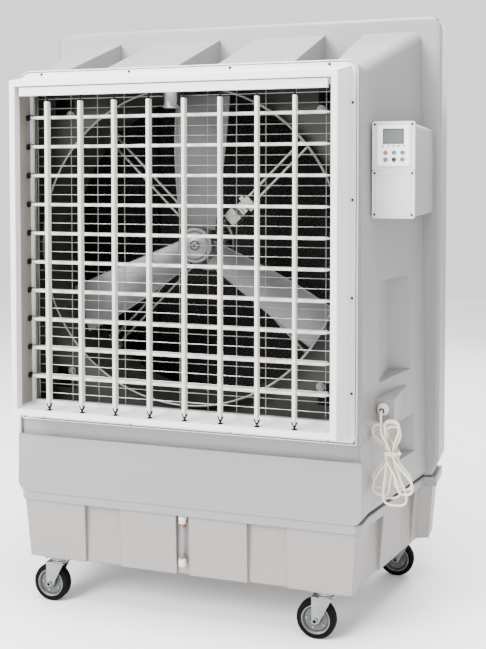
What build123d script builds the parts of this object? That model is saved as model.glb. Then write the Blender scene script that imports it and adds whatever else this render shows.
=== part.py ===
"""Large mobile evaporative cooler: a moulded casing with a rear pad frame on a castered water tank,
an axial fan behind a wire guard, and a front outlet with coupled upright and level louvres.
Frame: X to the right seen from the front, front towards -Y, Z up, origin on the floor under the middle."""
from build123d import *
import math
import os

os.makedirs("parts", exist_ok=True)

# ---- driving dimensions (mm) ----
TOTAL_H = 1983.0
FRONT_Y, FLARE_Y, REAR_Y, BACK_Y = -308.0, -209.0, 267.0, 432.0
CASE_Z, CASE_TOP = 381.0, 1775.0
WALL = 5.0
FRAME_HALF = 737.0
TANK_Z0, TANK_Z1, TANK_BACK_Y = 158.0, 352.0, 398.0
GAP = 0.3

FLANGE_HALF, FLANGE_Z0, FLANGE_Z1, FLANGE_T = 565.0, 626.0, CASE_TOP, 10.0
LIP_Y = -432.0
MOUTH_HALF, MOUTH_Z0, MOUTH_Z1 = 511.6, 688.0, 1714.0
MOUTH_MID = (MOUTH_Z0 + MOUTH_Z1) / 2
MOUTH_H = MOUTH_Z1 - MOUTH_Z0

UPRIGHT_COUNT, UPRIGHT_PITCH, UPRIGHT_Y = 8, 115.0, -418.0
LEVEL_COUNT, LEVEL_PITCH, LEVEL_Z, LEVEL_Y = 10, 92.8, 783.4, -355.0
LOUVER_T = 11.0

FAN_Z, FAN_TIP_R, RING_R = 1206.0, 490.0, 505.0
HUB_FRONT_Y, HUB_R, HUB_L = -176.0, 59.0, 62.0

WHEEL_R, WHEEL_W, TRAIL = 62.5, 36.0, 29.0
CASTERS = {
    "front_left": (-459, -250), "front_right": (459, -250),
    "rear_left": (-612, 325), "rear_right": (612, 325),
}

BOX_Y, BOX_X, BOX_Z0, BOX_Z1, BOX_SPLIT = -198.0, 716.0, 1302.0, 1597.0, 1448.0
PANEL_X = 651.0
LCD_Z = 1551.5
BUTTON_X, BUTTON_Z = (627.0, 653.0, 679.0), (1502.0, 1481.0)

CORD_R = 3.6
GLAND = (618.0, -160.0, 708.0)
INLET = (600.0, 392.0, 290.0)


def save(piece, node):
    """Label one finished sub-part and write it as its own file."""
    piece.label = node
    export_step(piece, f"parts/{node}.step")


def half_width(y, z):
    """Outer half width of the casing side wall at depth y and height z."""
    front = 583 - 0.0125 * (z - CASE_Z)
    knee = front + 8
    rear = 697 - 0.02 * (z - CASE_Z)
    if y <= FLARE_Y:
        return front + (knee - front) * (y - FRONT_Y) / (FLARE_Y - FRONT_Y)
    return knee + (rear - knee) * (y - FLARE_Y) / (REAR_Y - FLARE_Y)


def top_height(y):
    """Outer height of the casing roof at depth y."""
    return CASE_TOP + max(0.0, y - FLARE_Y) * (1932 - CASE_TOP) / (REAR_Y - FLARE_Y)


def casing_section(y, inset, z0, round_r):
    """One upright cross-section of the casing, inset all round and rounded at the top corners."""
    z1 = top_height(y) - inset
    with BuildSketch(Plane.XZ.offset(-y)) as section:
        with BuildLine():
            Polyline(
                (-half_width(y, z0) + inset, z0),
                (half_width(y, z0) - inset, z0),
                (half_width(y, z1) - inset, z1),
                (-half_width(y, z1) + inset, z1),
                close=True,
            )
        make_face()
        fillet(section.vertices().group_by(Axis.Z)[-1], round_r)
    return section.sketch.faces()[0]


def casing_solid(inset, z0, y0, y1, round_r):
    """Straight front stretch and flared rear stretch, joined at the knee."""
    with BuildPart() as body:
        for start, end in ((y0, FLARE_Y), (FLARE_Y, y1)):
            sections = [casing_section(y, inset, z0, round_r) for y in (start, end)]
            loft(sections, ruled=True)
    return body.part


def valley_solid(grow):
    """The three square valleys that leave four wedge ribs on the roof."""
    length = REAR_Y - FLARE_Y + 40
    with BuildPart() as valleys:
        with Locations(*[(x, FLARE_Y + length / 2 - grow, CASE_TOP - grow) for x in (-397, 0, 397)]):
            Box(140 + 2 * grow, length, 400, align=(Align.CENTER, Align.CENTER, Align.MIN))
    return valleys.part


def pocket_solid(grow, side):
    """Two moulded pockets in one side wall: the tall upper one and the short lower one."""
    sign = 1 if side == "right" else -1
    with BuildPart() as pockets:
        for z0, z1, y0, y1, y2 in ((787, 1103, -139, 59, 130), (502, 629, -40, 120, 146)):
            x0 = half_width(y0, (z0 + z1) / 2) - 1
            with BuildSketch(Plane.XY.offset(z0 - grow)):
                with BuildLine():
                    Polyline(
                        (sign * (x0 - grow), y0 - grow),
                        (sign * (x0 - grow), y1 + grow),
                        (sign * (half_width(y2, z0) + 30), y2 + grow + 30),
                        (sign * (half_width(y2, z0) + 30), y0 - grow),
                        close=True,
                    )
                make_face()
            extrude(amount=z1 - z0 + 2 * grow)
    return pockets.part


def tank_outline(z, inset):
    """Plan of the drafted tank at height z: it follows the casing flare, then widens at the back."""
    draft = 15 * (TANK_Z1 - z) / (TANK_Z1 - TANK_Z0)
    knee, rear, wide = 572 - draft - inset, 676 - draft - inset, 716 - draft - inset
    front, half = FRONT_Y + 12 + 0.6 * draft + inset, 563 - draft - inset
    back, step = TANK_BACK_Y - 0.6 * draft - inset, 258 + draft + inset
    with BuildSketch(Plane.XY.offset(z)) as outline:
        with BuildLine():
            Polyline(
                (-half, front), (half, front), (knee, FLARE_Y), (rear, step), (wide, step + 18), (wide, back),
                (-wide, back), (-wide, step + 18), (-rear, step), (-knee, FLARE_Y),
                close=True,
            )
        make_face()
    return outline.sketch.faces()[0]


# ---- tank: drafted tub with pads and recesses, open at the top ----
with BuildPart() as tank:
    loft([tank_outline(TANK_Z0, 0), tank_outline(TANK_Z1, 0)], ruled=True)
    loft([tank_outline(TANK_Z0 + 7, 24), tank_outline(TANK_Z1, 24)], ruled=True, mode=Mode.SUBTRACT)
    for x in (-280, 0, 280):
        width = 128 if x else 44
        with Locations((x, -300, (TANK_Z0 + TANK_Z1) / 2)):
            Box(width, 44, 260, mode=Mode.SUBTRACT)
    for side in (-1, 1):
        for y, reach in ((-122, 600), (150, 664)):
            with Locations((side * reach, y, (TANK_Z0 + TANK_Z1) / 2)):
                Box(60, 120, 260, rotation=(0, 0, -side * 12.5), mode=Mode.SUBTRACT)
    with Locations((INLET[0], INLET[1] + 20, INLET[2])):
        Box(60, 40, 60, mode=Mode.SUBTRACT)
save(tank.part, "tank")

# ---- skirt lip between casing and tank ----
with BuildPart() as skirt_lip:
    with BuildSketch(Plane.XY.offset(TANK_Z1)):
        with BuildLine():
            Polyline(
                (-560, FRONT_Y + 4), (560, FRONT_Y + 4), (580, -284), (584, FLARE_Y),
                (688, REAR_Y - 1), (730, REAR_Y - 1),
                (730, BACK_Y - 6), (-730, BACK_Y - 6), (-730, REAR_Y - 1), (-688, REAR_Y - 1),
                (-584, FLARE_Y), (-580, -284),
                close=True,
            )
        make_face()
        with BuildLine():
            Polyline(
                (-540, -270), (540, -270), (556, FLARE_Y), (660, 290), (690, 290), (690, 400),
                (-690, 400), (-690, 290), (-660, 290), (-556, FLARE_Y), close=True,
            )
        make_face(mode=Mode.SUBTRACT)
    extrude(amount=CASE_Z - TANK_Z1)

# ---- casing ----
cavity = casing_solid(WALL, CASE_Z - 1, FRONT_Y + WALL + 22, REAR_Y + 1, 30) - valley_solid(WALL)
cavity = cavity - pocket_solid(WALL, "right") - pocket_solid(WALL, "left")
with BuildPart() as casing:
    add(casing_solid(0, CASE_Z, FRONT_Y, REAR_Y, 34))
    add(cavity, mode=Mode.SUBTRACT)
    add(valley_solid(0), mode=Mode.SUBTRACT)
    for side in ("right", "left"):
        add(pocket_solid(0, side), mode=Mode.SUBTRACT)
    with Locations((0, FRONT_Y, (573 + 1900) / 2)):
        Box(1300, 20, 1900 - 573, mode=Mode.SUBTRACT)
    with Locations((0, FRONT_Y, 599.5)):
        Box(1150, 40, 53, mode=Mode.SUBTRACT)
    with Locations((0, FRONT_Y, MOUTH_MID)):
        Box(1060, 120, MOUTH_H + 32, mode=Mode.SUBTRACT)
    with BuildSketch(Plane.XY.offset(666)):
        with BuildLine():
            Polyline((596, -160), (652, -160), (652, 80), (640, 80), close=True)
        make_face()
    extrude(amount=73)
    add(skirt_lip.part)
save(casing.part, "casing")

# ---- rear frame: deep rounded ring that carries the pad ----
PLENUM_TOP = 1765  # top of the opening between casing and frame, under the valley floors


def lower_corners(half, bottom, across, up):
    """Take a triangle off both lower corners of the section being drawn."""
    for side in (-1, 1):
        corner = [(side * half, bottom), (side * (half - across), bottom), (side * half, bottom + up)]
        Polygon(*corner, align=None, mode=Mode.SUBTRACT)


with BuildPart() as rear_frame:
    with BuildSketch(Plane.XZ.offset(-REAR_Y)) as frame_outline:
        with Locations((0, (CASE_Z + TOTAL_H) / 2)):
            Rectangle(2 * FRAME_HALF, TOTAL_H - CASE_Z)
        fillet(frame_outline.vertices().group_by(Axis.Z)[-1], 45)
        lower_corners(FRAME_HALF, CASE_Z, 25, 57)
    extrude(amount=-(BACK_Y - REAR_Y))
    fillet(rear_frame.faces().sort_by(Axis.Y)[0].edges(), 14)
    with BuildSketch(Plane.XZ.offset(-REAR_Y)):
        with Locations((0, (CASE_Z + 25 + PLENUM_TOP) / 2)):
            Rectangle(1290, PLENUM_TOP - CASE_Z - 25)
    extrude(amount=-20, mode=Mode.SUBTRACT)
    with BuildSketch(Plane.XZ.offset(-REAR_Y - WALL)):
        with Locations((0, (CASE_Z + TOTAL_H) / 2)):
            Rectangle(2 * (FRAME_HALF - 12), TOTAL_H - CASE_Z - 24)
        lower_corners(FRAME_HALF - 12, CASE_Z + 12, 27, 62)
    extrude(amount=-200, mode=Mode.SUBTRACT)
    with Locations((0, 336, CASE_Z)):
        Box(1280, 128, 60, mode=Mode.SUBTRACT)
save(rear_frame.part, "rear_frame")

# ---- cooling pad and the slatted intake grille behind it ----
with BuildPart() as cooling_pad:
    with BuildSketch(Plane.XZ.offset(-295)):
        with Locations((0, (CASE_Z + TOTAL_H) / 2)):
            Rectangle(1440, TOTAL_H - CASE_Z - 40)
        lower_corners(720, CASE_Z + 20, 20, 44)
    extrude(amount=-100)
save(cooling_pad.part, "cooling_pad")

with BuildPart() as rear_grille:
    with BuildSketch(Plane.XZ.offset(-405)):
        with Locations((0, (CASE_Z + TOTAL_H) / 2)):
            Rectangle(1449, TOTAL_H - CASE_Z - 26)
        lower_corners(724.5, CASE_Z + 13, 27, 61)
        with Locations((0, (CASE_Z + TOTAL_H) / 2)):
            with GridLocations(0, 60, 1, 25):
                with Locations((-355, 0), (355, 0)):
                    Rectangle(670, 34, mode=Mode.SUBTRACT)
    extrude(amount=-18)
save(rear_grille.part, "rear_grille")

# ---- outlet collar: white flange frame with a projecting mouth ----
with BuildPart() as outlet_collar:
    with BuildSketch(Plane.XZ.offset(-FRONT_Y)) as flange:
        with Locations((0, (FLANGE_Z0 + FLANGE_Z1) / 2)):
            Rectangle(2 * FLANGE_HALF, FLANGE_Z1 - FLANGE_Z0)
        fillet(flange.vertices().group_by(Axis.Z)[-1], 35)
    extrude(amount=-FLANGE_T)
    with BuildSketch(Plane.XZ.offset(-FRONT_Y)):
        with Locations((0, 1201.5)):
            Rectangle(1084, 1109)
    with BuildSketch(Plane.XZ.offset(-LIP_Y)):
        with Locations((0, 1201)):
            Rectangle(1062, 1064)
    loft()
    with BuildSketch(Plane.XZ.offset(-LIP_Y)):
        with Locations((0, MOUTH_MID)):
            Rectangle(2 * MOUTH_HALF, MOUTH_H)
    extrude(amount=-200, mode=Mode.SUBTRACT)
    with BuildSketch(Plane.XZ.offset(338)):
        with Locations((0, MOUTH_MID)):
            Rectangle(2 * MOUTH_HALF, MOUTH_H)
            Rectangle(1000, MOUTH_H - 24, mode=Mode.SUBTRACT)
    extrude(amount=-11)
save(outlet_collar.part, "outlet_collar")

# ---- strip that carries the upper louvre pins ----
upright_x = [UPRIGHT_PITCH * (i - (UPRIGHT_COUNT - 1) / 2) for i in range(UPRIGHT_COUNT)]
with BuildPart() as louver_strip:
    with Locations((0, UPRIGHT_Y, 1697.5)):
        Box(1000, 12, 27)
    with Locations(*[(x, UPRIGHT_Y, 1684) for x in upright_x]):
        Cylinder(2.6, 20, mode=Mode.SUBTRACT)
save(louver_strip.part, "louver_strip")

# ---- upright louvres: rounded slat, top pin, forked clip and foot ----
for index, x in enumerate(upright_x):
    with BuildPart() as upright:
        with BuildSketch(Plane.XY.offset(718)):
            with Locations((x, UPRIGHT_Y)):
                RectangleRounded(LOUVER_T, 23, 4)
        extrude(amount=947)
        with BuildSketch(Plane.XY.offset(1665)):
            with Locations((x, UPRIGHT_Y)):
                Circle(2.5)
        extrude(amount=27)
        with Locations((x, UPRIGHT_Y, 704)):
            Box(6, 8, 28)
    with BuildPart() as clip:
        with Locations((x, UPRIGHT_Y, MOUTH_Z0 + GAP)):
            Cylinder(9, 2.5, align=(Align.CENTER, Align.CENTER, Align.MIN))
        with Locations((x - 5.5, UPRIGHT_Y, 690), (x + 5.5, UPRIGHT_Y, 690)):
            Box(4.6, 8, 22, align=(Align.CENTER, Align.CENTER, Align.MIN))
    save(Compound([upright.part.solids()[0], *clip.part.solids()]), f"vertical_louver_{index + 1}")

# ---- level louvres: rounded slat with tapered ends and round bushes ----
for index in range(LEVEL_COUNT):
    z = LEVEL_Z + LEVEL_PITCH * index
    with BuildPart() as level:
        with BuildSketch(Plane.YZ.offset(-484)):
            with Locations((LEVEL_Y, z)):
                RectangleRounded(28, LOUVER_T, 4)
        extrude(amount=968)
        with Locations((0, LEVEL_Y, z)):
            Box(1002, 12, 6)
    with BuildPart() as bushes:
        for side in (-1, 1):
            with Locations((side * 506.1, LEVEL_Y, z)):
                Cylinder(10, 10, rotation=(0, 90, 0))
    save(Compound([level.part.solids()[0], *bushes.part.solids()]), f"horizontal_louver_{index + 1}")

# ---- wire guard: one flat grid ----
guard_bars = []
for side in (-1, 1):
    guard_bars.append(Pos(side * 503, -312, MOUTH_MID) * Box(12, 6, MOUTH_H - 8))
    guard_bars.append(Pos(0, -312, MOUTH_MID + side * (MOUTH_H / 2 - 10)) * Box(994, 6, 12))
for column in range(11):
    guard_bars.append(Pos(94 * (column - 5), -310.5, MOUTH_MID) * Box(3, 3, MOUTH_H - 32))
for row in range(32):
    guard_bars.append(Pos(0, -313.5, MOUTH_MID + 31 * (row - 15.5)) * Box(994, 3, 3))
save(Compound(children=guard_bars), "wire_guard")

# ---- fan ring with its square bulkhead ----
with BuildPart() as fan_shroud:
    with BuildSketch(Plane.XZ.offset(258)):
        with Locations((0, FAN_Z)):
            Circle(RING_R + 4)
            Circle(RING_R, mode=Mode.SUBTRACT)
    extrude(amount=-240)
    with BuildSketch(Plane.XZ.offset(258)):
        with Locations((0, FAN_Z)):
            Circle(RING_R + 9)
            Circle(RING_R, mode=Mode.SUBTRACT)
    extrude(amount=-5)
    with BuildSketch(Plane.XZ.offset(205)):
        with Locations((0, FAN_Z)):
            Rectangle(1110, 1090)
            Circle(RING_R + 2, mode=Mode.SUBTRACT)
        with Locations(*[(sx * 455, FAN_Z + sz * 455, 0) for sx in (-1, 1) for sz in (-1, 1)]):
            Rectangle(70, 70, mode=Mode.SUBTRACT)
    extrude(amount=-4)
save(fan_shroud.part, "fan_shroud")


def blade_section(radius):
    """One pitched section of a fan blade, square to its own radius."""
    share = (radius - 50) / (FAN_TIP_R - 50)
    chord = 135 + 45 * share
    pitch = math.radians(38 - 20 * share)
    chord_line = (math.cos(pitch), math.sin(pitch), 0)
    plane = Plane(origin=(0, HUB_FRONT_Y + 34, FAN_Z + radius), x_dir=chord_line, z_dir=(0, 0, 1))
    with BuildSketch(plane) as section:
        RectangleRounded(chord, 6, 2.5)
    return section.sketch.faces()[0]


with BuildPart() as blade:
    loft([blade_section(r) for r in (50, 200, 350, FAN_TIP_R)])
with BuildPart() as fan_impeller:
    with Locations((0, HUB_FRONT_Y, FAN_Z)):
        Cylinder(HUB_R, HUB_L, rotation=(-90, 0, 0), align=(Align.CENTER, Align.CENTER, Align.MIN))
    for turn in (0, 120, 240):
        add(blade.part.rotate(Axis((0, 0, FAN_Z), (0, 1, 0)), turn))
    with Locations((0, HUB_FRONT_Y - 6, FAN_Z)):
        Cylinder(14, 8, rotation=(-90, 0, 0), align=(Align.CENTER, Align.CENTER, Align.MIN))
save(fan_impeller.part, "fan_impeller")

# ---- motor and its struts ----
SHAFT_L = 20.0
MOTOR_Y = HUB_FRONT_Y + HUB_L + SHAFT_L
with BuildPart() as motor:
    with Locations((0, MOTOR_Y, FAN_Z)):
        Cylinder(84, 150, rotation=(-90, 0, 0), align=(Align.CENTER, Align.CENTER, Align.MIN))
    with Locations((0, MOTOR_Y - SHAFT_L + GAP, FAN_Z)):
        Cylinder(12, SHAFT_L, rotation=(-90, 0, 0), align=(Align.CENTER, Align.CENTER, Align.MIN))
save(motor.part, "motor")

with BuildPart() as motor_struts:
    with Locations((0, MOTOR_Y + 60, FAN_Z)):
        Cylinder(92, 26, rotation=(-90, 0, 0))
        Cylinder(84, 30, rotation=(-90, 0, 0), mode=Mode.SUBTRACT)
    for turn in (45, 135, 225, 315):
        for shift in (-14, 14):
            rod = Cylinder(5, 416, align=(Align.CENTER, Align.CENTER, Align.MIN), mode=Mode.PRIVATE)
            rod = Location((shift, MOTOR_Y + 60, FAN_Z + 88)) * rod
            add(rod.rotate(Axis((0, 0, FAN_Z), (0, 1, 0)), turn))
        foot = Location((0, MOTOR_Y + 60, FAN_Z + 496)) * Box(60, 26, 8, mode=Mode.PRIVATE)
        add(foot.rotate(Axis((0, 0, FAN_Z), (0, 1, 0)), turn))
save(motor_struts.part, "motor_struts")

# ---- water circuit ----
with BuildPart() as pump:
    with Locations((-330, 300, TANK_Z0 + 7)):
        Cylinder(55, 90, align=(Align.CENTER, Align.CENTER, Align.MIN))
with BuildPart() as water_pipe:
    with Locations((-330, 283, TANK_Z0 + 97)):
        Cylinder(9.5, 1660, align=(Align.CENTER, Align.CENTER, Align.MIN))
save(Compound([pump.part.solids()[0], water_pipe.part.solids()[0]]), "pump_and_riser")
with BuildPart() as water_inlet:
    with Locations(INLET):
        Cylinder(18, 10, rotation=(-90, 0, 0), align=(Align.CENTER, Align.CENTER, Align.MIN))
        Cylinder(10, BACK_Y - INLET[1], rotation=(-90, 0, 0), align=(Align.CENTER, Align.CENTER, Align.MIN))
save(water_inlet.part, "water_inlet")

# ---- control box ----
side_wall = casing_solid(-0.2, CASE_Z, FRONT_Y, REAR_Y, 34)
with BuildPart() as control_box_body:
    with Locations((BOX_X - 4, BOX_Y + 12, BOX_Z0 + 4)):
        Box(180, REAR_Y - BOX_Y - 12.2, BOX_Z1 - BOX_Z0 - 8, align=(Align.MAX, Align.MIN, Align.MIN))
    fillet(control_box_body.edges().filter_by(Axis.Y).group_by(Axis.X)[-1], 10)
    add(side_wall, mode=Mode.SUBTRACT)
    with Locations((BOX_X - 9, BOX_Y + 17, BOX_Z0 + 9)):
        Box(
            180, REAR_Y - BOX_Y - 24, BOX_Z1 - BOX_Z0 - 18,
            align=(Align.MAX, Align.MIN, Align.MIN), mode=Mode.SUBTRACT,
        )
save(control_box_body.part, "control_box_body")

BOX_LEFT = 586.0
BOX_MID = (BOX_LEFT + BOX_X) / 2
with BuildPart() as control_panel_cover:
    with Locations((BOX_MID, BOX_Y + 6, (BOX_SPLIT + BOX_Z1) / 2 + 1)):
        Box(BOX_X - BOX_LEFT, 12, BOX_Z1 - BOX_SPLIT - 2)
    fillet(control_panel_cover.edges().filter_by(Axis.Y).group_by(Axis.Z)[-1], 8)
    with Locations((PANEL_X, BOX_Y, LCD_Z)):
        Box(61, 6, 43.5, mode=Mode.SUBTRACT)
    with Locations(*[(x, BOX_Y + 2, z) for x in BUTTON_X for z in BUTTON_Z]):
        Cylinder(7.2, 9, rotation=(90, 0, 0), mode=Mode.SUBTRACT)
save(control_panel_cover.part, "control_panel_cover")
with BuildPart() as control_lower_cover:
    with Locations((BOX_MID, BOX_Y + 6, (BOX_SPLIT + BOX_Z0) / 2 - 1)):
        Box(BOX_X - BOX_LEFT, 12, BOX_SPLIT - BOX_Z0 - 2)
    fillet(control_lower_cover.edges().filter_by(Axis.Y).group_by(Axis.Z)[0], 8)
save(control_lower_cover.part, "control_lower_cover")
with BuildPart() as control_membrane:
    with Locations((PANEL_X, BOX_Y - 0.5, 1524)):
        Box(96, 1, 124)
    with Locations((PANEL_X, BOX_Y, LCD_Z)):
        Box(61, 6, 43.5, mode=Mode.SUBTRACT)
    with Locations(*[(x, BOX_Y, z) for x in BUTTON_X for z in BUTTON_Z]):
        Cylinder(7.2, 9, rotation=(90, 0, 0), mode=Mode.SUBTRACT)
save(control_membrane.part, "control_membrane")
with BuildPart() as lcd_window:
    with Locations((PANEL_X, BOX_Y + 1, LCD_Z)):
        Box(60, 4, 42.5)
save(lcd_window.part, "lcd_window")
for index, (z, x) in enumerate((z, x) for z in BUTTON_Z for x in BUTTON_X):
    with BuildPart() as button:
        with Locations((x, BOX_Y + 0.5, z)):
            Cylinder(6.6, 6, rotation=(90, 0, 0))
        fillet(button.edges().group_by(Axis.Y)[0], 1.2)
    save(button.part, f"button_{index + 1}")

# ---- level gauge in the front groove of the tank ----
GAUGE_Y = -292.0
with BuildPart() as gauge_tube:
    with Locations((0, GAUGE_Y, 212)):
        Cylinder(9, 114, align=(Align.CENTER, Align.CENTER, Align.MIN))
        Cylinder(7.6, 114, align=(Align.CENTER, Align.CENTER, Align.MIN), mode=Mode.SUBTRACT)
save(gauge_tube.part, "gauge_tube")
with BuildPart() as gauge_fittings:
    with Locations((0, GAUGE_Y, 188), (0, GAUGE_Y, 326)):
        Cylinder(13, 24, align=(Align.CENTER, Align.CENTER, Align.MIN))
    with Locations((0, -282, 200), (0, -282, 338)):
        Box(10, 8, 10)
save(gauge_fittings.part, "gauge_fittings")
with BuildPart() as gauge_float:
    with Locations((0, GAUGE_Y, 214)):
        Cylinder(7, 18, align=(Align.CENTER, Align.CENTER, Align.MIN))
save(gauge_float.part, "gauge_float")

# ---- swing motor that drives the upright louvres ----
with BuildPart() as swing_motor:
    with Locations((0, -374, 1638)):
        Cylinder(28, 62, align=(Align.CENTER, Align.CENTER, Align.MIN))
    with Locations((0, -374, 1707)):
        Box(70, 24, 14 - 2 * GAP)
save(swing_motor.part, "swing_motor")

# ---- casters ----
with BuildPart() as caster_plates:
    with Locations(*[(x, y, TANK_Z0 - 4) for x, y in CASTERS.values()]):
        Box(92, 66, 4, align=(Align.CENTER, Align.CENTER, Align.MIN))
save(caster_plates.part, "caster_plates")
for corner, (x, y) in CASTERS.items():
    with BuildPart() as fork:
        with Locations((x, y, 136)):
            Cylinder(26, 18 - GAP, align=(Align.CENTER, Align.CENTER, Align.MIN))
        with Locations((x - 8, y, 134)):
            Box(64, 54, 5)
        for side in (-1, 1):
            with BuildSketch(Plane.XZ.offset(-(y + side * 25.5))):
                with BuildLine():
                    leg = [(x - 40, 136), (x + 24, 136), (x - TRAIL + 11, 54), (x - TRAIL - 11, 54)]
                    Polyline(*leg, close=True)
                make_face()
            extrude(amount=1.5, both=True)
        with Locations((x - TRAIL, y, WHEEL_R)):
            Cylinder(4.9, 62, rotation=(90, 0, 0))
        with Locations((x - TRAIL, y - 30, WHEEL_R), (x - TRAIL, y + 30, WHEEL_R)):
            Cylinder(9, 5, rotation=(90, 0, 0))
    save(fork.part, f"caster_fork_{corner}")
    with BuildPart() as wheel:
        with Locations((x - TRAIL, y, WHEEL_R)):
            Cylinder(WHEEL_R, WHEEL_W, rotation=(90, 0, 0))
            fillet(wheel.edges().filter_by(GeomType.CIRCLE), 7)
            Cylinder(4.95, 60, rotation=(90, 0, 0), mode=Mode.SUBTRACT)
        with Locations((x - TRAIL, y, WHEEL_R)):
            Cylinder(14, 46, rotation=(90, 0, 0))
            Cylinder(4.95, 60, rotation=(90, 0, 0), mode=Mode.SUBTRACT)
    save(wheel.part, f"caster_wheel_{corner}")

# ---- screw heads of the flange and the control covers ----
with BuildPart() as screws:
    screw_z = (782, 1068, 1360, 1648)
    screw_x = (-484, -172, 166, 478)
    with Locations(*[(side * 549, FRONT_Y, z) for side in (-1, 1) for z in screw_z]):
        Cylinder(4, 4, rotation=(90, 0, 0), align=(Align.CENTER, Align.CENTER, Align.MIN))
    with Locations(*[(x, FRONT_Y, z) for x in screw_x for z in (1763, 637)]):
        Cylinder(4, 4, rotation=(90, 0, 0), align=(Align.CENTER, Align.CENTER, Align.MIN))
    with Locations(*[(x, BOX_Y, z) for x in (BOX_LEFT + 8, BOX_X - 8) for z in (1314, 1440, 1588)]):
        Cylinder(3.5, 3, rotation=(90, 0, 0), align=(Align.CENTER, Align.CENTER, Align.MIN))
save(screws.part, "screws")

# ---- cord: gland, lead and tied hank beside the wall ----
gx, gy, gz = GLAND
with BuildPart() as cord_gland:
    with Locations((gx, gy, gz)):
        Cylinder(19, 12, rotation=(90, 0, 0), align=(Align.CENTER, Align.CENTER, Align.MIN))
    with Locations((gx, gy - 12, gz)):
        Cylinder(11, 12, rotation=(90, 0, 0), align=(Align.CENTER, Align.CENTER, Align.MIN))
save(cord_gland.part, "cord_gland")

LEAD_ROUTE = [
    (gx, gy - 24, gz), (gx, gy - 46, gz), (gx + 4, gy - 62, gz - 16), (gx + 4, gy - 62, gz - 37),
]


def corner_radii(route):
    """The largest arc that each corner's two runs allow."""
    points = [Vector(*p) for p in route]
    radii = []
    for before, here, after in zip(points, points[1:], points[2:]):
        turn = math.radians((here - before).get_angle(after - here))
        radii.append(0.45 * min((here - before).length, (after - here).length) / math.tan(turn / 2))
    return radii


lead_radii = corner_radii(LEAD_ROUTE)
print("lead radii", [round(r, 1) for r in lead_radii])
with BuildPart() as power_lead:
    with BuildLine() as lead_path:
        FilletPolyline(*LEAD_ROUTE, radius=lead_radii)
    with BuildSketch(Plane(origin=LEAD_ROUTE[0], z_dir=(0, -1, 0))):
        Circle(CORD_R)
    sweep()
save(power_lead.part, "power_lead")

HANK_TOP = gz - 37
with BuildPart() as cord_hank:
    with BuildSketch(Plane.XZ.offset(-(gy - 80))):
        with BuildLine():
            Polyline(
                (gx - 22, HANK_TOP), (gx + 56, HANK_TOP), (gx + 56, 620), (gx + 50, 592),
                (gx + 80, 530), (gx + 98, 470),
                (gx + 70, 432), (gx - 4, 432), (gx - 24, 476), (gx + 16, 592), (gx - 22, 640), close=True,
            )
        make_face()
    extrude(amount=-36)
save(cord_hank.part, "cord_hank")
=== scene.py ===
"""Evaporative cooler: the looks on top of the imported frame. Metres, front towards -Y, Z up."""
import math

import bpy
from mathutils import Matrix, Vector


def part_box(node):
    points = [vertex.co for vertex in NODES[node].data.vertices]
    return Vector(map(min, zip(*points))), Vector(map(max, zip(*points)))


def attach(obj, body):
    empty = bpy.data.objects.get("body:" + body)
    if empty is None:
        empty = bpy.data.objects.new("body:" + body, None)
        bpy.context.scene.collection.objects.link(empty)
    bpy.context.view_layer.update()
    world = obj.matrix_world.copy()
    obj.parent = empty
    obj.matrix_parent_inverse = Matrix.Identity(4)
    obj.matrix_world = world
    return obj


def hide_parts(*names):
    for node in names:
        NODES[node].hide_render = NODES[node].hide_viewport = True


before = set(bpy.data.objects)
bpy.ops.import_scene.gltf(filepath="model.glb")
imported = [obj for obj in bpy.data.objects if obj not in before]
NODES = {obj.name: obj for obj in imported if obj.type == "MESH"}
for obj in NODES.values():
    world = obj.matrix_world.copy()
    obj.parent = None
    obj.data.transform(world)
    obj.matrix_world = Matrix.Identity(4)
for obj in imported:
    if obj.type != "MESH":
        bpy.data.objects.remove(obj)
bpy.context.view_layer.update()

CORNERS = ("front_left", "front_right", "rear_left", "rear_right")


def centre(node):
    """Middle of a CAD node's box."""
    low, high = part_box(node)
    return (low + high) / 2


# ---------- camera, floor and light ----------
CAMERA_PLACE = (1.163, -3.230, 1.420)
CAMERA_DOWN = 2.3
CAMERA_TURN = 18.1
LENS_MM = 55.6
SENSOR_MM = 36
SHIFT_UP = -0.161
FLOOR = 9
WORLD_STRENGTH = 1.45


def make_camera():
    """Eye-level view from the front right, shifted down so that the sides stay upright."""
    data = bpy.data.cameras.new("camera")
    camera = bpy.data.objects.new("camera", data)
    bpy.context.scene.collection.objects.link(camera)
    camera.location = CAMERA_PLACE
    camera.rotation_euler = (math.radians(90 - CAMERA_DOWN), 0, math.radians(CAMERA_TURN))
    data.lens = LENS_MM
    data.sensor_width = SENSOR_MM
    data.shift_y = SHIFT_UP
    bpy.context.scene.camera = camera


def area_light(name, place, target, size, power):
    """Rectangular lamp at a place, turned to its target."""
    data = bpy.data.lights.new(name, "AREA")
    data.shape = "RECTANGLE"
    data.size, data.size_y = size
    data.energy = power
    light = bpy.data.objects.new(name, data)
    bpy.context.scene.collection.objects.link(light)
    light.location = place
    light.rotation_euler = (Vector(target) - Vector(place)).to_track_quat("-Z", "Y").to_euler()


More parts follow.
